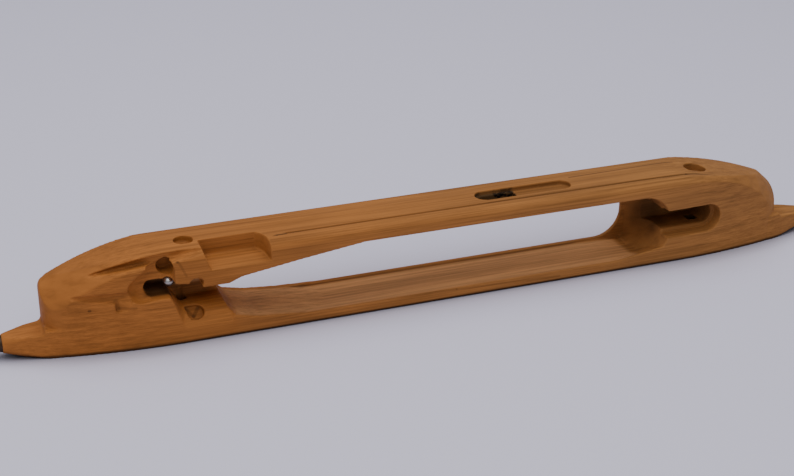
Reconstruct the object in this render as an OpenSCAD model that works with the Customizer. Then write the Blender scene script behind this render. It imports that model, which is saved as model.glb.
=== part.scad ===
// Stripped weaving shuttle: a hardwood body, two steel tips and the steel guide peg of the eye slot.
// X runs along the shuttle, -Y is the open front, Z = 0 is the flat back wall. Millimetres.

/* [Body] */
// Length between the two end faces, without the noses
body_len = 381; // [376:1:390]
// Height of the body, from the back wall up to the front wall
body_h = 45; // [44:0.5:47]
// Depth of the body at its middle
body_w = 32; // [31:0.5:34]
// Length over which the flanks narrow before an end face
narrow_len = 70.5; // [66:0.5:74]
// Radius of each flank where it narrows towards an end
flank_r = 345; // [335:5:360]
// Length over which the top drops before the left end face
left_drop_len = 60.5; // [58:0.5:63]
// Radius of the top where it drops towards the left end
left_crown_r = 150; // [145:1:158]
// Length over which the top drops before the right end face
right_drop_len = 73; // [70.5:0.5:75.5]
// Radius of the top where it drops towards the right end
right_crown_r = 188; // [183:1:198]
// Rounding at the top of each end face
shoulder_r = 6; // [4:0.5:7]
// Rounding of the front corner of each end face
front_corner_r = 12; // [10:0.5:13]
// Rounding of the rear corner of each end face
rear_corner_end_r = 1; // [0.8:0.2:2]
// Radius of the dome that rounds the front of the top at the left end face
left_dome_r = 17.2; // [16.4:0.1:18]
// Radius of that dome at the right end face
right_dome_r = 13.5; // [13:0.1:14.3]
// Rounding along the front edge of the top
front_edge_r = 5; // [4:0.5:6]
// Rounding along the rear edge of the top
rear_edge_r = 1.5; // [1:0.25:2]
// Rounding along the bottom edges
bottom_edge_r = 1.2; // [0.8:0.2:2]
// Depth of the flat part of the top, from the front rounding back
flat_top_w = 16; // [14:0.5:18]
// Fall of the top from its flat part to the rear edge
rear_fall = 0.6; // [0.3:0.1:1]

/* [Noses] */
// Length of each nose beyond its end face
nose_len = 19; // [17:0.5:22]
// Height of the nose where it leaves the end face
nose_h = 11.6; // [11.2:0.1:12.5]
// Height of the nose top at the steel tip
nose_end_h = 11; // [10.8:0.1:11.5]
// Height of the nose bottom at the steel tip
nose_rise = 3; // [2.5:0.1:3.2]
// Length over which the bottom rises to the steel tip
nose_rise_len = 14; // [12:0.5:17]
// Hollow radius between nose and end face
nose_fillet_r = 2; // [1:0.5:3]

/* [Steel tips] */
// Diameter of a tip where it meets the wood
tip_d = 8; // [7.6:0.1:8.2]
// Length of a tip outside the wood
tip_len = 12; // [10:0.5:14]
// Radius of the blunt point
tip_point_r = 1.5; // [1:0.1:2]
// Height of the tip axis above the back wall
tip_z = 7; // [6.8:0.1:7.2]
// Diameter of the shank inside the nose
shank_d = 5; // [4:0.5:5.5]
// Length of the shank
shank_len = 24; // [18:1:28]
// Radial clearance of the shank in its bore
shank_gap = 0.02; // [0.01:0.01:0.05]

/* [Pirn chamber] */
// Height of the chamber floor line before its hollow is cut
floor_z = 3.7; // [3.5:0.1:4]
// Height of the chamber ceiling
ceiling_z = 37.6; // [37:0.2:38.2]
// Lowest height of the hollow in the floor
trough_z = 3.9; // [3.8:0.1:4.4]
// Radius of the hollow in the floor
trough_r = 110; // [100:5:130]
// Where the hollow is deepest, behind the middle
trough_y = 3; // [1:0.5:5]
// Thickness of the rear lip
lip_t = 2.3; // [2:0.1:3]
// Height of the rear lip
lip_z = 5.2; // [5:0.1:5.6]
// Distance from the right end face to the rear opening
rear_end = 82.2; // [81.6:0.2:84]
// Corner radius of the rear opening
rear_corner_r = 14; // [12:0.5:15]
// Distance from the right end face to the chamber on the front face
chamber_end = 69.5; // [68.5:0.5:70.5]
// Corner radius at the right end of the chamber
chamber_corner_r = 15.5; // [14:0.5:16.5]
// Radius of the hollow end wall, seen from above
end_wall_r = 25.7; // [25:0.1:26.5]
// Distance of that wall's centre in front of the middle
end_wall_y = 8; // [7:0.5:9]
// Depth of the pocket that widens along the rear lip
lip_pocket = 1; // [0.6:0.1:1.2]
// Height of the axis of the pirn
pirn_z = 21.3; // [21:0.1:21.6]

/* [Clamp slot] */
// Height of the slot on the front face
slot_h = 14.8; // [14:0.2:15.2]
// Distance from the right end face to the slot on the front face
slot_end = 40; // [38.5:0.5:42.5]
// Depth of the wide part of the slot
slot_step_depth = 8; // [6:0.5:10]
// Margin by which the deep part is smaller than the wide part
slot_step = 1.8; // [1.2:0.1:2.2]
// Depth of the whole slot
slot_depth = 24; // [20:1:26]
// Distance from the right end face to the clamp bolt
bolt_end = 48.7; // [47.5:0.1:50.5]
// Diameter of the clamp bolt's bore
bolt_d = 4.7; // [4.5:0.1:5.2]
// Diameter of the clamp bolt's counterbore
bolt_head_d = 11.4; // [10.8:0.1:12]
// Depth of the clamp bolt's counterbore
bolt_head_depth = 6.5; // [5.5:0.5:7.5]
// Wood left below the clamp bolt's lower bore
bolt_floor = 4; // [3:0.5:6]

/* [Eye slot] */
// Distance from the left end face to the eye screw where it enters the top
eye_screw_end = 66.4; // [65.5:0.1:67.5]
// Distance from there to where the screw meets the lower side of the slot
eye_screw_shift = 2.7; // [2:0.1:3.4]
// Height of that lower side
eye_floor_z = 16; // [15.5:0.1:16.5]
// Diameter of the eye screw's bore
eye_screw_d = 4.7; // [4.5:0.1:5]
// Diameter of the eye screw's counterbore
screw_head_d = 9; // [8.6:0.1:9.4]
// Depth of the eye screw's counterbore
screw_head_depth = 3; // [2:0.5:4]
// Depth of the screw's blind end below the slot
eye_screw_depth = 9; // [7:0.5:10]
// Height of the deep yarn channel
channel_h = 7.4; // [7:0.1:7.8]
// Height of the channel's axis
channel_z = 27.8; // [27.5:0.1:28]
// Distance from the left end face to the channel
channel_end = 45.1; // [44.5:0.1:45.5]
// Depth of the channel
channel_depth = 19; // [17:0.5:20]
// Diameter of the blind hole above the channel
blind_hole_d = 8.4; // [8:0.1:8.8]
// Depth of the blind hole
blind_hole_depth = 8; // [7:0.5:9]

/* [Guide peg] */
// Diameter of the peg
peg_d = 4.7; // [4.4:0.1:5]
// Distance from the left end face to the peg
peg_end = 56.5; // [56:0.1:57]
// Height of the peg
peg_z = 29.9; // [29.6:0.1:30.2]
// Distance of the peg's head behind the front face
peg_inset = 4; // [3.5:0.5:5]
// Length of the whole peg
peg_len = 23; // [21:0.5:24]
// Radial clearance of the peg in its bore
peg_gap = 0.02; // [0.01:0.01:0.05]

/* [Top of the body] */
// Left end of the feeler slot
feeler_x0 = 20.5; // [19:0.5:22]
// Right end of the feeler slot
feeler_x1 = 71; // [69:0.5:73]
// Width of the feeler slot
feeler_w = 10.7; // [10:0.1:11.2]
// Depth of the feeler slot
feeler_depth = 2.6; // [2:0.2:3]
// Depth of its worn left part
feeler_deep = 5.4; // [5:0.2:6]
// Distance of the worn part from the slot's left end
worn_inset = 0.8; // [0.6:0.1:1.2]
// Length of the worn part
worn_len = 21; // [19:0.5:23]
// Width of the worn part
worn_w = 9.2; // [8.8:0.1:9.6]
// Distance from the left end face to the yarn notch
notch_end = 75.4; // [74.4:0.2:76.4]
// Length of the yarn notch
notch_len = 28.4; // [27:0.1:30]
// Distance over which the left wall of the notch leans outwards
notch_lean = 2.6; // [2.2:0.1:3.2]
// Distance of the notch's back wall behind the front face
notch_depth = 13.3; // [12:0.1:14]
// Height of the notch floor at its back wall
notch_z = 36.9; // [36.5:0.1:37.5]
// Fall of the notch floor towards the front
notch_fall = 1.9; // [1:0.1:2.5]
// Left end of the fine yarn groove
groove_x0 = -78; // [-80:0.5:-76]
// Right end of the fine yarn groove
groove_x1 = 138; // [130:1:140]
// Distance of the fine yarn groove from the front face
groove_inset = 6.3; // [6:0.1:6.6]
// Width of the fine yarn groove
groove_w = 1.2; // [1:0.1:1.4]
// Depth of the fine yarn groove
groove_depth = 1; // [0.8:0.1:1.2]

/* [Hidden] */
wood = [0.72, 0.47, 0.25];
steel = [0.62, 0.63, 0.65];
$fn = 96;
over = 1;
half_len = body_len / 2;
narrow_x = half_len - narrow_len;
half_w = body_w / 2;
wood_end = half_len + nose_len;
rear_end_x = half_len - rear_end;
chamber_end_x = half_len - chamber_end;
slot_end_x = half_len - slot_end;
bolt_x = half_len - bolt_end;
eye_screw_x = -half_len + eye_screw_end;
eye_screw_low_x = eye_screw_x - eye_screw_shift;
channel_end_x = -half_len + channel_end;
peg_x = -half_len + peg_end;
notch_x0 = -half_len + notch_end;
notch_x1 = notch_x0 + notch_len;
eye_open_x = -half_len + 84.5;
curve_steps = 12;
edge_steps = 5;
dome_steps = 10;
roll_steps = 8;

// Half width of the body at a distance x from its middle
function half_width(x) = x < narrow_x ? half_w
    : half_w - pow(x - narrow_x, 2) / (2 * flank_r);

// Points of an arc in a plane
function arc(cx, cy, r, a0, a1, steps) =
    [for (i = [0:steps]) let (a = a0 + (a1 - a0) * i / steps) [cx + r * cos(a), cy + r * sin(a)]];

// A right half outline joined to its mirror image
function both_halves(right) =
    concat(right, [for (i = [len(right) - 1:-1:0]) [-right[i][0], right[i][1]]]);

// Outline of a round top that drops towards an end face, from its shoulder back to its start
function crown(drop, r) =
    let (x = half_len - drop,
        z = body_h - r,
        sx = half_len - shoulder_r,
        sz = z + sqrt(pow(r - shoulder_r, 2) - pow(sx - x, 2)),
        a = atan2(sz - z, sx - x),
        top = arc(x, z, r, a, 90, curve_steps))
    concat(arc(sx, sz, shoulder_r, 0, a, edge_steps), [for (i = [1:curve_steps]) top[i]]);

// Solid with an outline in X and Z, between two depths
module slab_xz(y0, y1) {
    translate([0, y1, 0])
        rotate([90, 0, 0])
            linear_extrude(y1 - y0)
                children();
}

// Solid with an outline in Y and Z, between two places along the body
module slab_yz(x0, x1) {
    translate([x0, 0, 0])
        rotate([90, 0, 90])
            linear_extrude(x1 - x0)
                children();
}

// Round tapering solid between two points
module taper(from, to, r0, r1) {
    d = to - from;
    run = norm([d[0], d[1]]);
    translate(from)
        rotate([0, atan2(run, d[2]), atan2(d[1], d[0])])
            cylinder(h = norm(d), r1 = r0, r2 = r1);
}

// Slot outline with a round right end and its left end open at x0
module round_ended(x0, x1, z, h) {
    translate([x1 - h / 2, z])
        circle(d = h);
    translate([x0, z - h / 2])
        square([x1 - h / 2 - x0, h]);
}

// Outline of a nose from the front, from its bottom up to the end face
function nose_outline() = concat(
    [for (i = [0:6]) let (t = i / 6) [wood_end - nose_rise_len * (1 - t), nose_rise * t * t]],
    [[wood_end, nose_end_h]],
    arc(half_len + nose_fillet_r, nose_h + nose_fillet_r, nose_fillet_r, 270, 180, 4));

// Outline of the body from the front, with its noses
module side_outline() {
    right = concat(nose_outline(), crown(right_drop_len, right_crown_r));
    left = concat(nose_outline(), crown(left_drop_len, left_crown_r));
    polygon(concat(right, [for (i = [len(left) - 1:-1:0]) [-left[i][0], left[i][1]]]));
}

// Outline of the body from above, with its noses
module plan_outline() {
    flank = [for (i = [0:curve_steps]) let (x = narrow_x + (wood_end - narrow_x) * i / curve_steps)
        [x, -half_width(x)]];
    back = [for (i = [curve_steps:-1:0]) [flank[i][0], -flank[i][1]]];
    polygon(both_halves(concat(flank, back)));
}

// Outline of the body from above, without noses and with round upright corners
module blunt_outline() {
    f = front_corner_r;
    r = rear_corner_end_r;
    slope = atan((half_len - f - narrow_x) / flank_r);
    front_y = -half_width(half_len - f) + f / cos(slope);
    rear_y = half_width(half_len - r) - r;
    polygon(both_halves(concat(
        [[narrow_x, -half_w - over], [narrow_x + narrow_len / 3, -half_w - over]],
        arc(half_len - f, front_y, f, -90 + slope, 0, edge_steps + 2),
        arc(half_len - r, rear_y, r, 0, 80, 3),
        [[narrow_x + narrow_len / 3, half_w + over], [narrow_x, half_w + over]])));
}

// Cross-section of the middle of the body
module section_outline() {
    e = bottom_edge_r;
    f = front_edge_r;
    r = rear_edge_r;
    rear_top = body_h - rear_fall;
    polygon(concat(
        arc(-half_w + e, e, e, 180, 270, 3),
        arc(half_w - e, e, e, 270, 360, 3),
        arc(half_w - r, rear_top - r, r, 0, 80, 3),
        [[-half_w + f + flat_top_w, body_h]],
        arc(-half_w + f, body_h - f, f, 90, 180, edge_steps)));
}

// Outline of half the dome, from the middle out to an end, for a given power of its curve
function dome(end_r, side, power) =
    let (start_r = 38, start_x = narrow_x - 5, span = half_len - start_x)
    [for (i = [0:dome_steps]) let (t = i * (span + over) / span / dome_steps)
        [start_r - (start_r - end_r) * pow(t, power), side * (start_x + t * span)]];

// Round limit that domes the front of the top towards both ends
module domed_limit() {
    axis_y = 9.5;
    axis_z = 14;
    right = dome(right_dome_r, 1, 3);
    left = dome(left_dome_r, -1, 2.6);
    translate([0, axis_y, axis_z])
        rotate([0, 90, 0])
            rotate_extrude()
                polygon(concat([[0, left[dome_steps][1]]], [for (i = [dome_steps:-1:0]) left[i]],
                    right, [[0, right[dome_steps][1]]]));
    translate([-half_len - over, -half_w - over, -over])
        cube([body_len + 2 * over, body_w + 2 * over, axis_z + over]);
}

// Round limit of one nose, which ends in the round seat of the steel tip
module nose_limit(side) {
    root = half_len - 7;
    root_r = 13.4;
    intersection() {
        taper([side * root, 0, tip_z], [side * wood_end, 0, tip_z], root_r, tip_d / 2 + 0.3);
        translate([-wood_end - over, -half_w, -over])
            cube([2 * wood_end + 2 * over, body_w, nose_h + nose_fillet_r + over]);
    }
}

// Body before anything is cut into it
module blank() {
    intersection() {
        slab_xz(-half_w - over, half_w + over)
            side_outline();
        translate([0, 0, -over])
            linear_extrude(body_h + 2 * over)
                plan_outline();
        slab_yz(-wood_end - over, wood_end + over)
            section_outline();
        union() {
            intersection() {
                translate([0, 0, -over])
                    linear_extrude(body_h + 2 * over)
                        blunt_outline();
                domed_limit();
            }
            nose_limit(-1);
            nose_limit(1);
        }
    }
}

// Left part of the chamber outline, from the left end face on: the ceiling from right to left
chamber_left_ceiling = [[149.5, ceiling_z], [117.5, ceiling_z - 4], [89.5, ceiling_z - 8],
    [82.5, ceiling_z - 10.8], [77.5, ceiling_z - 11]];
// The same for the floor, from left to right
chamber_left_floor = [[83.3, floor_z + 9.1], [86.5, floor_z + 6.3], [96.9, floor_z + 4],
    [112.5, floor_z + 2.5], [135.5, floor_z]];

// Outline of the chamber for a given floor and right end
module chamber_outline(low, end_x, r) {
    polygon(concat(
        [for (p = chamber_left_ceiling) [p[0] - half_len, p[1]]],
        [for (p = chamber_left_floor) [p[0] - half_len, max(p[1], low)]],
        arc(end_x - r, low + r, r, 270, 360, 7),
        arc(end_x - r, ceiling_z - r, r, 0, 90, 7)));
}

// Limit of the chamber from above: straight, with a hollow round right end
module chamber_limit() {
    centre_x = chamber_end_x - sqrt(pow(end_wall_r, 2) - pow(half_w - end_wall_y, 2));
    translate([0, 0, -over])
        linear_extrude(body_h + 2 * over) {
            translate([-half_len, -half_w - over])
                square([half_len + centre_x + over, body_w + over]);
            translate([centre_x, -end_wall_y])
                circle(r = end_wall_r);
        }
}

// Limit of the chamber from below: a slope that raises the front lip towards the right end
module ramp_limit() {
    translate([chamber_end_x - 41, -half_w, trough_z])
        rotate([-18.6, -8.5, 0])
            translate([-body_len, -body_w, 0])
                cube([2 * body_len, 3 * body_w, 2 * body_h]);
}

// Pocket along the rear lip, which starts from nothing and gets deeper towards the right
module lip_pocket_cut(lip_y) {
    start_x = rear_end_x - 34.3;
    slab_xz(trough_y, lip_y)
        polygon([[start_x, trough_z + 0.5], [rear_end_x, trough_z + 0.5 - lip_pocket],
            [rear_end_x, pirn_z], [start_x, pirn_z]]);
}

// Everything that opens the pirn chamber
module chamber_cut() {
    lip_y = half_w - lip_t;
    intersection() {
        slab_xz(-half_w - over, lip_y)
            chamber_outline(floor_z, chamber_end_x, chamber_corner_r);
        slab_yz(-chamber_end_x, chamber_end_x + over)
            polygon(concat(
                [for (i = [0:10]) let (y = -half_w - over + (lip_y + half_w + 2 * over) * i / 10)
                    [y, trough_z + trough_r - sqrt(pow(trough_r, 2) - pow(y - trough_y, 2))]],
                [[lip_y + over, body_h], [-half_w - over, body_h]]));
        chamber_limit();
        ramp_limit();
    }
    intersection() {
        lip_pocket_cut(lip_y);
        slab_xz(-half_w, half_w)
            chamber_outline(floor_z - 1, chamber_end_x, chamber_corner_r);
    }
    slab_xz(lip_y - over, half_w + over)
        chamber_outline(lip_z, rear_end_x, rear_corner_r);
}

// Slot and bores for the pirn clamp
module clamp_cut() {
    deep_h = slot_h - 2 * slot_step;
    slab_xz(-half_w - over, -half_w + slot_step_depth)
        round_ended(chamber_end_x - 9, slot_end_x, pirn_z - 0.2, slot_h);
    slab_xz(-half_w, -half_w + slot_depth)
        round_ended(chamber_end_x - 9, slot_end_x - slot_step, pirn_z - 0.2, deep_h);
    translate([bolt_x, 0, bolt_floor])
        cylinder(h = body_h, d = bolt_d);
    translate([bolt_x, 0, body_h - bolt_head_depth])
        cylinder(h = 2 * bolt_head_depth, d = bolt_head_d);
}

// Screw hole that leans a little, from the top down to the lower side of the eye slot
module eye_screw_cut() {
    lean = atan2(eye_screw_x - eye_screw_low_x, body_h - eye_floor_z);
    depth = norm([eye_screw_x - eye_screw_low_x, body_h - eye_floor_z]);
    translate([eye_screw_x, 0, body_h])
        rotate([0, lean, 0]) {
            translate([0, 0, -screw_head_depth])
                cylinder(h = 2 * screw_head_depth, d = screw_head_d);
            translate([0, 0, -depth - eye_screw_depth])
                cylinder(h = depth + eye_screw_depth, d = eye_screw_d);
        }
}

// Curve of the lower side of the eye slot, rolling over from the front face to its floor
roll_line = [[-half_w - over, 6], [-half_w - 0.2, 6], [-half_w + 0.5, 9], [-half_w + 1.9, 11.5],
    [-half_w + 4.2, 13.6], [-half_w + 7.4, 15.1], [-half_w + 11, eye_floor_z - 0.2],
    [-half_w + channel_depth - 1, eye_floor_z + 0.2], [-half_w + channel_depth - 1, 27.2],
    [-half_w - over, 27.2]];

// Hollow dish left of the peg, which runs up to the blind hole
module dish_cut() {
    hull() {
        translate([-half_len + 43.4, -half_w + 1, 29.6])
            sphere(r = 6.5, $fn = 32);
        translate([-half_len + 52.8, -half_w + 2, 38])
            sphere(r = 5.9, $fn = 32);
        translate([-half_len + 53, -half_w + 1, 29.9])
            sphere(r = 5.7, $fn = 32);
    }
}

// Place and share of the roll, growing smoothly from the closed left part of the channel
function roll_growth(x0, x1) =
    [for (i = [0:roll_steps]) let (t = i / roll_steps) [x0 + (x1 - x0) * t, t * t * (3 - 2 * t)]];

// Solid through sections of the roll, each given by its place and its share of the full depth
module roll_loft(sections, start_z) {
    n = len(roll_line);
    last = len(sections) - 1;
    points = [for (s = sections, p = roll_line)
        [s[0], p[0], p[1] > start_z ? p[1] : start_z + (p[1] - start_z) * s[1]]];
    sides = [for (i = [0:last - 1], j = [0:n - 1]) let (k = (j + 1) % n)
        each [[i * n + k, i * n + j, (i + 1) * n + j], [i * n + k, (i + 1) * n + j, (i + 1) * n + k]]];
    caps = [for (j = [0:n - 3])
        each [[n - 1, j, j + 1], [last * n + n - 1, last * n + j + 1, last * n + j]]];
    polyhedron(points, concat(sides, caps));
}

// Deep yarn channel, which opens downwards and to the chamber at its right
module channel_cut() {
    turn_x = eye_screw_low_x - 1.2;
    low_z = channel_z - channel_h / 2;
    slab_xz(-half_w - over, -half_w + channel_depth)
        mirror([1, 0])
            round_ended(-peg_x - 2.1, -channel_end_x, channel_z, channel_h);
    slab_xz(-half_w - over, -half_w + channel_depth)
        polygon([[peg_x + 1, low_z + 1.4], [eye_screw_low_x + 7.4, low_z + 1.4],
            [eye_screw_low_x + 7.4, channel_z + 1.4], [peg_x + 1, channel_z + 3.1]]);
    roll_loft(concat(roll_growth(turn_x - 7, turn_x), [[eye_open_x, 1]]), low_z + 0.15);
}

// Seats beside the channel: blind hole, ledge under the front wall and pocket in the lower side
module seat_cuts() {
    translate([-half_len + 55.8, -half_w + 4, 37.2])
        rotate([-80, 0, 0])
            cylinder(h = blind_hole_depth, d = blind_hole_d);
    slab_xz(-half_w - over, -half_w + 5.2) {
        translate([eye_screw_low_x + 3.8, 29.6])
            circle(d = 4.8);
        round_ended(eye_screw_low_x + 3.8, eye_screw_low_x + 7.9, 29.6, 4.8);
    }
    translate([eye_screw_low_x + 3.6, -half_w + 3.4, 12.6])
        rotate([40, 0, 0])
            translate([0, 0, -3.2])
                linear_extrude(9) {
                    polygon([[-4.3, 5.2], [0.5, 5.3], [0.5, -2.6], [-2.4, -2.4]]);
                    translate([0.5, 1.35])
                        circle(r = 4);
                }
}

// Tapering yarn groove high on the left front, with a flat lower ledge
module upper_groove_cut() {
    translate([-half_len, -half_w, 0])
        intersection() {
            union() {
                taper([15, 9.8, 36], [38, 3.6, 39], 0.3, 4.4, $fn = 12);
                taper([37.9, 3.6, 39], [72.5, 2.4, 45.6], 4.4, 3, $fn = 12);
            }
            translate([38, 0, 39.2])
                rotate([0, -7, 0])
                    translate([-30, -over, 0])
                        cube([70, 20, 12]);
        }
}

// Tapering yarn groove low on the left front, and the recess that it runs into
module lower_groove_cut() {
    translate([-half_len, -half_w, 0]) {
        taper([8.5, 6, 29.4], [38.5, -0.2, 26.6], 0.3, 3.9);
        translate([30.1, 0, 20.4])
            rotate([0, 0, -24])
                translate([0, -4, 0])
                    cube([12, 8.5, 7.2]);
    }
}

// Notch that lets the yarn cross the front edge, with a leaning left wall
module notch_cut() {
    back_y = -half_w + notch_depth;
    lean_h = body_h + over - notch_z + notch_fall;
    intersection() {
        slab_yz(notch_x0 - notch_lean - over, notch_x1 + over)
            polygon([[-half_w - over, notch_z - notch_fall], [back_y, notch_z],
                [back_y, body_h + over], [-half_w - over, body_h + over]]);
        slab_xz(-half_w - over, back_y + over)
            polygon([[notch_x0, notch_z - notch_fall], [notch_x1 + over, notch_z - notch_fall],
                [notch_x1 + over, body_h + over],
                [notch_x0 - notch_lean * lean_h / (body_h - notch_z), body_h + over]]);
        translate([0, 0, body_h / 2])
            linear_extrude(body_h)
                polygon([[notch_x0 - 2 * notch_lean, -half_w - over], [notch_x1, -half_w - over],
                    [notch_x1 - 1, -half_w + 7], [notch_x1 - 2.4, back_y - 2.5], [notch_x1 - 4.5, back_y],
                    [notch_x0 - 2 * notch_lean, back_y]]);
    }
}

// Feeler slot, with its deeper worn left part, and the fine grooves on the top
module top_cut() {
    r = feeler_w / 2;
    translate([0, -0.2, body_h - feeler_depth])
        linear_extrude(feeler_depth + over) {
            translate([feeler_x0 + r, 0])
                circle(r = r);
            translate([feeler_x1 - r, 0])
                circle(r = r);
            translate([feeler_x0 + r, -r])
                square([feeler_x1 - feeler_x0 - 2 * r, 2 * r]);
        }
    translate([feeler_x0 + worn_inset + worn_w / 2, -0.2, body_h - feeler_deep]) {
        cylinder(h = feeler_deep, d = worn_w);
        translate([0, -worn_w / 2, 0])
            cube([worn_len - worn_w / 2, worn_w, feeler_deep]);
    }
    translate([groove_x0, -half_w + groove_inset, body_h - groove_depth])
        cube([groove_x1 - groove_x0, groove_w, 2 * groove_depth]);
}

module shuttle_body() {
    color(wood)
        difference() {
            blank();
            chamber_cut();
            clamp_cut();
            eye_screw_cut();
            dish_cut();
            channel_cut();
            seat_cuts();
            upper_groove_cut();
            lower_groove_cut();
            notch_cut();
            top_cut();
            tip_bore(-1);
            tip_bore(1);
            peg_bore();
        }
}

// Bore in a nose for the shank of a steel tip
module tip_bore(side) {
    translate([side * (wood_end - shank_len / 2 + over / 2), 0, tip_z])
        rotate([0, 90, 0])
            cylinder(h = shank_len + over, r = shank_d / 2 + shank_gap, center = true);
}

// Bore in the wood for the guide peg
module peg_bore() {
    translate([peg_x, -half_w + peg_inset, peg_z])
        rotate([-90, 0, 0])
            cylinder(h = peg_len, r = peg_d / 2 + peg_gap);
}

// Turned steel tip with its shank, along +X from the face of the nose
module tip() {
    cone_a = atan2(tip_d / 2 - tip_point_r, tip_len - tip_point_r);
    rotate([0, 90, 0])
        rotate_extrude()
            polygon(concat(
                [[0, -shank_len], [shank_d / 2 - 0.5, -shank_len], [shank_d / 2, -shank_len + 0.5],
                    [shank_d / 2, 0], [tip_d / 2, 0]],
                arc(0, tip_len - tip_point_r, tip_point_r, cone_a, 90, 6)));
}

module right_tip() {
    color(steel)
        translate([wood_end, 0, tip_z])
            tip();
}

module left_tip() {
    color(steel)
        translate([-wood_end, 0, tip_z])
            mirror([1, 0, 0])
                tip();
}

// Peg with a domed head, along Y
module guide_peg() {
    dome = peg_d / 2;
    color(steel)
        translate([peg_x, -half_w + peg_inset + dome, peg_z])
            rotate([-90, 0, 0])
                rotate_extrude()
                    polygon(concat(
                        [[0, peg_len - dome], [dome, peg_len - dome]],
                        arc(0, 0, dome, 0, -90, 6)));
}

shuttle_body();
left_tip();
right_tip();
guide_peg();
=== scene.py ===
"""Visual model of a stripped wooden weaving shuttle, in metres, in the frame of its CAD model."""

import math

import bpy
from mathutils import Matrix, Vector


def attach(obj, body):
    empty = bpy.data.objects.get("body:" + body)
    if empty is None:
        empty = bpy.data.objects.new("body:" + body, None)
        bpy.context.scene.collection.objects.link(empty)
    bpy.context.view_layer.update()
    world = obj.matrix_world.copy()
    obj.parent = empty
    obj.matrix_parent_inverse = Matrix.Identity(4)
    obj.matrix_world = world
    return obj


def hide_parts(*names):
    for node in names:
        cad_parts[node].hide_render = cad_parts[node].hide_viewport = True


MM = 0.001

# Camera, fitted to the straight edges of the photographed shuttle, with angles in degrees
CAMERA_POS = (-250.25 * MM, -632.6 * MM, 343.15 * MM)
CAMERA_PITCH = 65.0
CAMERA_YAW = -20.0
CAMERA_LENS = 69.83
CAMERA_SENSOR = 36.0

# Lamps aimed at the origin: name, place and size in metres, and power in watts
LAMPS = (
    ("soft_box", (-0.1, 0.1, 1.3), (1.6, 1.2), 11.6),
    ("high_front", (-0.3, -0.8, 1.1), (1.4, 0.8), 4.0),
)
ROOM_LIGHT = (0.93, 0.94, 1.0, 1.0)
ROOM_STRENGTH = 0.37

# Floor, from its middle to each side in metres
FLOOR_HALF = 3.0
FLOOR_ROUGHNESS = 0.8

# Edges of the wood, rubbed round
VOXEL = 0.45 * MM
SMOOTH_STEPS = 3
SMOOTH_FACTOR = 0.5
KEPT_SHARE = 0.3

# Colours, linear
LEFT_WOOD = (0.385, 0.136, 0.030, 1.0)
RIGHT_WOOD = (0.348, 0.149, 0.043, 1.0)
# Paler wood, painted light on the chamber's bed and in the yarn channel
PAINTED_LIGHT_WOOD = (0.62, 0.305, 0.122, 1.0)
# Painted shade in corners
CORNER_SHADE = (0.08, 0.032, 0.012, 1.0)
# Painted shade in deep hollows and at the foot, and the dark of the small real marks
SHADE_AND_MARK_DARK = (0.042, 0.018, 0.006, 1.0)
OLD_GRIME = (0.10, 0.052, 0.02, 1.0)
BLACK_WEAR = (0.006, 0.004, 0.003, 1.0)
PAPER = (0.76, 0.735, 0.89, 1.0)
# Painted contact shadow on the paper
PAPER_SHADE = (0.02, 0.02, 0.02, 1.0)
PEG_STEEL = (0.45, 0.43, 0.41, 1.0)
TIP_STEEL = (0.06, 0.042, 0.032, 1.0)
RUST = (0.1, 0.055, 0.03, 1.0)
# Painted shade on the lower half of the peg
PEG_LOWER_SHADE = (0.3, 0.26, 0.23, 1.0)

# Noises: density along X, Y and Z, then scale, detail, roughness, and distortion where there is any
GROWTH = ((1.6, 55, 90), 4.0, 3.0, 0.5, 0.25)
STREAKS = ((5, 210, 330), 3.0, 3.0, 0.55)
FIBRES = ((16, 900, 1200), 2.0, 4.0, 0.65)
PORES = ((90, 1500, 1500), 2.0, 2.0, 0.5)
PATCHES = ((7, 16, 16), 2.5, 2.0, 0.5)
FLAKES = ((260, 260, 260), 1.0, 4.0, 0.7)
RINGS = ((2500, 60, 60), 1.0, 2.0, 0.5)
TARNISH = ((220, 220, 220), 1.0, 4.0, 0.6)

# Steps over the noises: value of the noise, and brightness or strength of a mask there
GROWTH_STEPS = ((0.32, 0.84), (0.5, 1.0), (0.68, 1.08))
STREAK_STEPS = ((0.32, 0.78), (0.5, 1.0), (0.68, 1.1))
FIBRE_STEPS = ((0.32, 0.78), (0.5, 1.0), (0.68, 1.16))
PORE_STEPS = ((0.30, 0.84), (0.38, 1.0))
PATCH_STEPS = ((0.35, 0.92), (0.65, 1.06))
FLAKE_STEPS = ((0.44, 1.0), (0.52, 0.0))

# Painted shade in corners and hollows, and a painted contact shadow on the floor: their reach,
# steps of the mask over their openness, and strength
CORNERS = (5 * MM, ((0.2, 1.0), (0.7, 0.0)), 0.6)
DEPTHS = (30 * MM, ((0.05, 1.0), (0.24, 0.0)), 0.55)
CONTACT_SHADOW = (16 * MM, ((0.1, 1.0), (0.9, 0.0)), 0.85)
OPENNESS_SAMPLES = 8

# Places in millimetres where the left colour of the wood starts to turn, and where it has turned
TURN_START = -160.0
TURN_END = 120.0

# Lean of the surface across the grain at which streaks are gone, and at which they are full
STREAKS_GONE = 0.45
STREAKS_FULL = 0.1

# Finish of the wood: steps of roughness over the patches, and relief of the fibres
WOOD_ROUGHNESS = ((0.3, 0.58), (0.7, 0.72))
WOOD_SPECULAR = 0.12
RELIEF_STRENGTH = 0.15
RELIEF_DEPTH = 0.2 * MM

# Finish of the steel: roughness between its rings and on them, and share of rust
TIP_FINISH = (0.38, 0.53, 0.5)
PEG_FINISH = (0.26, 0.41, 0.4)

# Values of the noises in the steel over which its rings and its rust come in
RINGS_FROM = 0.3
RINGS_TO = 0.7
RUST_FROM = 0.40
RUST_TO = 0.68

# Height in millimetres below which the peg's colour has painted shade, and how softly that begins
PEG_SHADED_BELOW = 29.8
SHADE_SOFT = 0.5
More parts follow.
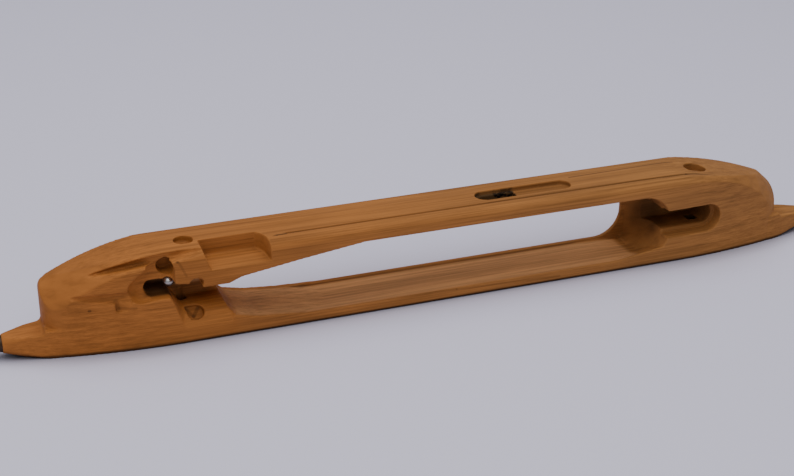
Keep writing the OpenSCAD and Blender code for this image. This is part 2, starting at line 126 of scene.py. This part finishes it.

# Boxes with a colour of their own or with painted light or shade: opposite corners and soft edge in
# millimetres, and strength
# Painted light on the chamber's bed
LIT_CHAMBER_BED = ((-104.0, -14.5, -1.0), (104.0, 12.6, 12.0), 2.0, 0.85)
# Painted light in the yarn channel
LIT_YARN_CHANNEL = ((-148.0, -7.2, 22.0), (-104.0, 6.0, 33.0), 0.6, 0.85)
FEELER_WEAR = ((20.5, -5.6, 38.0), (42.5, 5.2, 44.4), 0.5, 1.0)
FEELER_FLAKES = ((32.0, -4.6, 38.0), (42.5, 5.2, 44.6), 0.8, 1.0)
# Painted shadow along the foot of the front
FOOT_SHADOW = ((-215.0, -20.0, -2.0), (215.0, -5.0, 1.4), 0.6, 0.85)

# Painted shade in hollows that the light hardly reaches, given as the boxes above are
HOLLOWS = (
    # Floor of the yarn channel, and seat of the eye
    ((-145.5, -11.0, 22.0), (-128.5, 6.0, 26.0), 1.6, 0.88),
    ((-130.0, -3.0, 13.0), (-112.0, 6.0, 25.0), 3.0, 0.35),
    # Mouth of the clamp slot, its upper and its lower part
    ((111.0, -5.0, 20.0), (128.0, 10.0, 30.0), 6.0, 0.55),
    ((112.0, -4.0, 10.0), (128.0, 14.0, 24.0), 4.0, 0.55),
    # Feeler slot, to the right of its wear
    ((42.0, -3.0, 38.0), (75.0, 6.0, 44.3), 0.5, 0.3),
    # Lower bore of the clamp bolt, and the slot around it
    ((138.9, -2.9, 3.0), (144.7, 2.9, 15.7), 0.4, 0.95),
    ((113.0, -8.0, 15.0), (150.0, 9.0, 26.5), 2.0, 0.3),
)

# Fine dark lines and marks on the wood, some of them painted shade: start, end and width in
# millimetres, and strength
MARKS = (
    # Painted shade along the groove: hook at its left end, the groove, and its right end
    ((-84.6, -10.3, 44.3), (-82.3, -9.9, 45.0), 0.9, 0.6),
    ((-82.3, -9.9, 45.0), (-78.0, -9.8, 45.0), 0.8, 0.8),
    ((-79.0, -8.6, 44.4), (132.0, -8.6, 44.4), 0.9, 0.5),
    ((132.0, -8.6, 44.5), (147.0, -11.0, 43.6), 1.1, 0.6),
    # Painted shade along a faint line near the right counterbore
    ((74.0, 6.4, 44.9), (133.0, 7.9, 44.7), 0.8, 0.6),
    # Painted shade on the inner side of the rear lip of the chamber's floor
    ((-96.0, 12.9, 4.9), (86.0, 12.9, 4.9), 0.9, 0.65),
    # Two nicks near the left end
    ((-183.0, -7.7, 33.1), (-182.6, -7.8, 33.1), 0.8, 0.85),
    ((-171.0, -11.9, 22.5), (-170.4, -12.0, 22.5), 0.9, 0.6),
    # Dent and scratch to the left of the eye slot
    ((-158.8, -12.9, 25.5), (-158.4, -12.6, 21.0), 1.9, 0.26),
    ((-157.5, -12.7, 21.8), (-150.2, -14.3, 21.5), 1.1, 0.3),
    # V in the small pocket
    ((-126.2, -7.5, 12.8), (-123.5, -10.4, 10.4), 1.2, 0.38),
    ((-123.5, -10.4, 10.4), (-120.7, -7.3, 12.9), 1.2, 0.42),
    # Scratch above the eye slot, and the nick at its top
    ((-130.7, -15.7, 43.4), (-126.7, -15.8, 34.3), 0.8, 0.25),
    ((-130.8, -15.7, 42.0), (-130.4, -15.7, 41.8), 0.9, 0.6),
    # Faint dark line along the lower front
    ((-60.0, -15.8, 6.4), (5.0, -15.9, 4.8), 0.8, 0.28),
    ((5.0, -15.9, 4.8), (60.0, -16.0, 2.7), 0.8, 0.28),
)

# Share of a mark's width that has its full strength
MARK_CORE = 0.4


def new_material(name):
    """Node material, with its node tree and its shader."""
    mat = bpy.data.materials.new(name)
    mat.use_nodes = True
    return mat, mat.node_tree, mat.node_tree.nodes["Principled BSDF"]


def node(tree, kind, **values):
    """One shader node with some of its inputs and properties set."""
    made = tree.nodes.new(kind)
    for key, value in values.items():
        if key in made.inputs:
            made.inputs[key].default_value = value
        else:
            setattr(made, key, value)
    return made


def feed(tree, socket, value):
    """Gives an input its value, which is another node's output or a constant."""
    if isinstance(value, bpy.types.NodeSocket):
        tree.links.new(value, socket)
    else:
        socket.default_value = value


def mix(tree, kind, factor, a, b):
    """Colour a mixed with colour b by the given factor."""
    made = node(tree, "ShaderNodeMix", data_type="RGBA", blend_type=kind)
    for socket, value in ((made.inputs[0], factor), (made.inputs[6], a), (made.inputs[7], b)):
        feed(tree, socket, value)
    return made.outputs[2]


def joined(tree, operation, a, b):
    """Product or other combination of two values."""
    made = node(tree, "ShaderNodeMath", operation=operation)
    feed(tree, made.inputs[0], a)
    feed(tree, made.inputs[1], b)
    return made.outputs[0]


def joined_vectors(tree, operation, a, b):
    """Outputs of a node that combines two vectors."""
    made = node(tree, "ShaderNodeVectorMath", operation=operation)
    feed(tree, made.inputs[0], a)
    feed(tree, made.inputs[1], b)
    return made.outputs


def spread(tree, value, start, end, low=0.0, high=1.0, shape="SMOOTHSTEP"):
    """Value that goes from low to high while the given one goes from start to end."""
    made = node(tree, "ShaderNodeMapRange", interpolation_type=shape)
    made.inputs["From Min"].default_value = min(start, end)
    made.inputs["From Max"].default_value = max(start, end)
    made.inputs["To Min"].default_value = low if start < end else high
    made.inputs["To Max"].default_value = high if start < end else low
    feed(tree, made.inputs["Value"], value)
    return made.outputs["Result"]


def coordinates(tree, kind="Object"):
    """Place on the object in metres, or the surface's normal there."""
    return tree.nodes.new("ShaderNodeTexCoord").outputs[kind]


def axes(tree, kind="Object"):
    """The coordinates as three values, X, Y and Z."""
    parts = tree.nodes.new("ShaderNodeSeparateXYZ")
    feed(tree, parts.inputs["Vector"], coordinates(tree, kind))
    return parts.outputs


def noise(tree, density, scale, detail, roughness, distortion=0.0):
    """Noise over the object, with its own density along X, Y and Z."""
    mapping = node(tree, "ShaderNodeMapping", Scale=density)
    feed(tree, mapping.inputs["Vector"], coordinates(tree))
    made = node(tree, "ShaderNodeTexNoise", Scale=scale, Detail=detail, Roughness=roughness)
    made.inputs["Distortion"].default_value = distortion
    feed(tree, made.inputs["Vector"], mapping.outputs["Vector"])
    return made.outputs["Fac"]


def shade_steps(tree, value, steps):
    """Grey ramp over a value, given as places and levels of grey."""
    made = tree.nodes.new("ShaderNodeValToRGB")
    band = made.color_ramp
    while len(band.elements) < len(steps):
        band.elements.new(0.5)
    for element, (place, level) in zip(band.elements, steps):
        element.position = place
        element.color = (level, level, level, 1.0)
    feed(tree, made.inputs["Fac"], value)
    return made.outputs["Color"]


def occlusion(tree, reach, steps, strength):
    """Mask of what lies in a corner or a hollow of about the given size."""
    hollow = node(tree, "ShaderNodeAmbientOcclusion", Distance=reach, samples=OPENNESS_SAMPLES)
    return joined(tree, "MULTIPLY", shade_steps(tree, hollow.outputs["AO"], steps), strength)


def along_grain(tree):
    """Mask that fades out where the surface cuts across the grain."""
    lean = joined(tree, "ABSOLUTE", axes(tree, "Normal")["X"], 0.0)
    return spread(tree, lean, STREAKS_GONE, STREAKS_FULL)


def within(tree, low, high, soft, strength):
    """Mask of what lies in a box between two corners, soft at its edge, all in millimetres."""
    mask = strength
    for part, start, end in zip(axes(tree), low, high):
        above = spread(tree, part, (start - soft) * MM, (start + soft) * MM)
        below = spread(tree, part, (end + soft) * MM, (end - soft) * MM)
        mask = joined(tree, "MULTIPLY", mask, joined(tree, "MULTIPLY", above, below))
    return mask


def stroke(tree, start, end, width, strength):
    """Mask of what lies close to the line between two points given in millimetres."""
    first = Vector(start) * MM
    along = Vector(end) * MM - first
    offset = joined_vectors(tree, "SUBTRACT", coordinates(tree), first)["Vector"]
    reached = joined_vectors(tree, "DOT_PRODUCT", offset, along)["Value"]
    share = joined(tree, "MULTIPLY", reached, 1.0 / along.length_squared)
    share.node.use_clamp = True
    nearest = joined_vectors(tree, "MULTIPLY", share, along)["Vector"]
    gap = joined_vectors(tree, "DISTANCE", offset, nearest)["Value"]
    return spread(tree, gap, width * MM, MARK_CORE * width * MM, 0.0, strength)


def grained_wood(tree, fibres, patches):
    """Colour of the clean wood: two tones along the shuttle, a bed painted paler as painted light,
    and grain over both.
    """
    turned = spread(tree, axes(tree)["X"], TURN_START * MM, TURN_END * MM, shape="LINEAR")
    colour = mix(tree, "MIX", turned, LEFT_WOOD, RIGHT_WOOD)
    # Painted light on the chamber's bed
    colour = mix(tree, "MIX", within(tree, *LIT_CHAMBER_BED), colour, PAINTED_LIGHT_WOOD)
    grain = along_grain(tree)
    layers = (
        (1.0, noise(tree, *GROWTH), GROWTH_STEPS),
        (grain, noise(tree, *STREAKS), STREAK_STEPS),
        (grain, fibres, FIBRE_STEPS),
        (grain, noise(tree, *PORES), PORE_STEPS),
        (1.0, patches, PATCH_STEPS),
    )
    for share, value, steps in layers:
        colour = mix(tree, "MULTIPLY", share, colour, shade_steps(tree, value, steps))
    return colour


def used_wood(tree, colour):
    """The wood's colour with the painted shade in corners, hollows and along some lines, painted
    light in the yarn channel, and the marks and wear that lie over it.
    """
    flakes = shade_steps(tree, noise(tree, *FLAKES), FLAKE_STEPS)
    layers = [
        # Painted shade in corners
        (occlusion(tree, *CORNERS), CORNER_SHADE),
        # Painted shade in deep hollows
        (occlusion(tree, *DEPTHS), SHADE_AND_MARK_DARK),
        # Painted light in the yarn channel
        (within(tree, *LIT_YARN_CHANNEL), PAINTED_LIGHT_WOOD),
    ]
    # Painted shade in hollows
    layers += [(within(tree, *hollow), SHADE_AND_MARK_DARK) for hollow in HOLLOWS]
    # Dark marks: real nicks and scratches, and painted shade along the groove and the rear lip
    layers += [(stroke(tree, *mark), SHADE_AND_MARK_DARK) for mark in MARKS]
    layers += [
        (within(tree, *FEELER_WEAR), OLD_GRIME),
        (joined(tree, "MULTIPLY", flakes, within(tree, *FEELER_FLAKES)), BLACK_WEAR),
        # Painted shadow along the foot of the front
        (within(tree, *FOOT_SHADOW), SHADE_AND_MARK_DARK),
    ]
    for mask, shade in layers:
        colour = mix(tree, "MIX", mask, colour, shade)
    return colour


def wood_material():
    """Straight-grained hardwood, worn smooth and dirty with use, with painted light and shade in
    its colour.
    """
    mat, tree, shader = new_material("worn_hardwood")
    fibres = noise(tree, *FIBRES)
    patches = noise(tree, *PATCHES)
    colour = used_wood(tree, grained_wood(tree, fibres, patches))
    feed(tree, shader.inputs["Base Color"], colour)
    feed(tree, shader.inputs["Roughness"], shade_steps(tree, patches, WOOD_ROUGHNESS))
    shader.inputs["Specular IOR Level"].default_value = WOOD_SPECULAR

    relief = node(tree, "ShaderNodeBump", Strength=RELIEF_STRENGTH, Distance=RELIEF_DEPTH)
    feed(tree, relief.inputs["Height"], fibres)
    feed(tree, shader.inputs["Normal"], relief.outputs["Normal"])
    return mat


def steel_material(name, colour, finish, shaded_below=None):
    """Turned steel with fine rings and some rust, with painted shade below a height given in
    millimetres.
    """
    mat, tree, shader = new_material(name)
    smooth, rough, rust = finish
    rusty = shade_steps(tree, noise(tree, *TARNISH), ((RUST_FROM, 0.0), (RUST_TO, rust)))
    shade = mix(tree, "MIX", rusty, colour, RUST)
    if shaded_below is not None:
        top = (shaded_below + SHADE_SOFT) * MM
        # Painted shade on the peg below the given height
        low = spread(tree, axes(tree)["Z"], top, (shaded_below - SHADE_SOFT) * MM)
        shade = mix(tree, "MULTIPLY", low, shade, PEG_LOWER_SHADE)
    feed(tree, shader.inputs["Base Color"], shade)
    shader.inputs["Metallic"].default_value = 1.0
    ringed = shade_steps(tree, noise(tree, *RINGS), ((RINGS_FROM, smooth), (RINGS_TO, rough)))
    feed(tree, shader.inputs["Roughness"], ringed)
    return mat


def paper_material():
    """Pale paper with a painted contact shadow where something stands close to it."""
    mat, tree, shader = new_material("paper")
    # Painted contact shadow on the paper
    shade = mix(tree, "MIX", occlusion(tree, *CONTACT_SHADOW), PAPER, PAPER_SHADE)
    feed(tree, shader.inputs["Base Color"], shade)
    shader.inputs["Roughness"].default_value = FLOOR_ROUGHNESS
    return mat


def dress(obj, mat):
    """Gives an object one material, in place of those that it had."""
    obj.data.materials.clear()
    obj.data.materials.append(mat)


def new_object(name, data):
    """Object with the given mesh, lamp or camera, placed in the scene."""
    made = bpy.data.objects.new(name, data)
    bpy.context.scene.collection.objects.link(made)
    return made


def worn_body(source, mat):
    """Copy of the CAD body whose edges are rubbed round, as by sanding and years of use."""
    piece = new_object("wooden_body", source.data.copy())
    remesh = piece.modifiers.new("remesh", "REMESH")
    remesh.mode = "VOXEL"
    remesh.voxel_size = VOXEL
    smooth = piece.modifiers.new("smooth", "SMOOTH")
    smooth.factor = SMOOTH_FACTOR
    smooth.iterations = SMOOTH_STEPS
    thin = piece.modifiers.new("thin", "DECIMATE")
    thin.ratio = KEPT_SHARE
    graph = bpy.context.evaluated_depsgraph_get()
    mesh = bpy.data.meshes.new_from_object(piece.evaluated_get(graph))
    piece.modifiers.clear()
    piece.data = mesh
    for polygon in mesh.polygons:
        polygon.use_smooth = True
    dress(piece, mat)
    return piece


def make_camera():
    """Camera at the photograph's viewing angle."""
    data = bpy.data.cameras.new("camera")
    data.lens = CAMERA_LENS
    data.sensor_width = CAMERA_SENSOR
    camera = new_object("camera", data)
    camera.location = CAMERA_POS
    camera.rotation_euler = (math.radians(CAMERA_PITCH), 0.0, math.radians(CAMERA_YAW))
    bpy.context.scene.camera = camera


def make_lights():
    """Large soft lamps above the shuttle, and an even light from the room."""
    for name, place, size, power in LAMPS:
        data = bpy.data.lights.new(name, "AREA")
        data.shape = "RECTANGLE"
        data.size, data.size_y = size
        data.energy = power
        lamp = new_object(name, data)
        lamp.location = place
        lamp.rotation_euler = (-Vector(place)).to_track_quat("-Z", "Y").to_euler()
    room = bpy.data.worlds.new("room")
    bpy.context.scene.world = room
    room.use_nodes = True
    background = room.node_tree.nodes["Background"]
    background.inputs["Color"].default_value = ROOM_LIGHT
    background.inputs["Strength"].default_value = ROOM_STRENGTH


def make_floor():
    """Pale floor that the shuttle stands on."""
    mesh = bpy.data.meshes.new("floor")
    low, high = -FLOOR_HALF, FLOOR_HALF
    corners = [(low, low, 0), (high, low, 0), (high, high, 0), (low, high, 0)]
    mesh.from_pydata(corners, [], [(0, 1, 2, 3)])
    floor = new_object("floor", mesh)
    dress(floor, paper_material())


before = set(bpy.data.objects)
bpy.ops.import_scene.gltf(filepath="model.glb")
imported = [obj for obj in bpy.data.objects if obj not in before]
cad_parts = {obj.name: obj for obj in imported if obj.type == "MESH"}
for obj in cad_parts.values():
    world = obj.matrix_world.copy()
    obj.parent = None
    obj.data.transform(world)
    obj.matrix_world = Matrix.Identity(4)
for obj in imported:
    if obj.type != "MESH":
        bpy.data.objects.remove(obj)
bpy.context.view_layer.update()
make_camera()
make_lights()
make_floor()

body = worn_body(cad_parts["shuttle_body"], wood_material())
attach(body, "root")
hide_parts("shuttle_body")

tip_steel = steel_material("tip_steel", TIP_STEEL, TIP_FINISH)
tip_steel_right = steel_material("tip_steel_right", TIP_STEEL, TIP_FINISH)
peg_steel = steel_material("peg_steel", PEG_STEEL, PEG_FINISH, PEG_SHADED_BELOW)
dress(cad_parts["left_tip"], tip_steel)
dress(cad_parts["right_tip"], tip_steel_right)
dress(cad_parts["guide_peg"], peg_steel)
